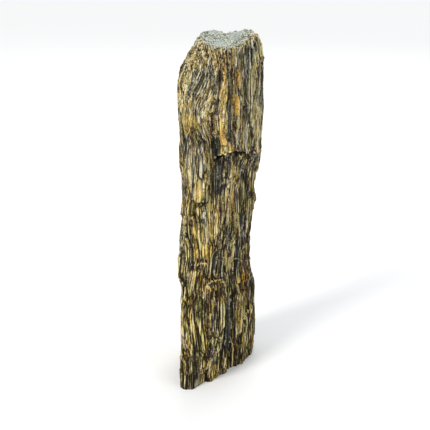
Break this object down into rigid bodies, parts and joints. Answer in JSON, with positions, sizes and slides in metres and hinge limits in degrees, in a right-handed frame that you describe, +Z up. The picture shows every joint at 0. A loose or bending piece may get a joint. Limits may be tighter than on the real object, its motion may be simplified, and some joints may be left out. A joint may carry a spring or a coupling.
{
  "type": "gneiss monolith",
  "caption": "Upright column of rodded, gold and charcoal gneiss, with a flat base, split and stepped sides and a dished grey broken top.",
  "frame": {"origin": "on the ground, at the middle of the stone's bounding box seen from above", "axes": "+Z up along the standing stone; -Y is the front, the side with the long oblique break low down on its right; +X is to the right seen from the front"},
  "size_m": [0.2064, 0.2564, 0.8548],
  "materials": {
    "banded_gneiss": "rough split gneiss with long thin gold, cream, rust and charcoal rods, and a fresh grey-blue break on top"
  },
  "bodies": {
    "root": {"gneiss_monolith": "banded_gneiss"}
  },
  "joints": []
}
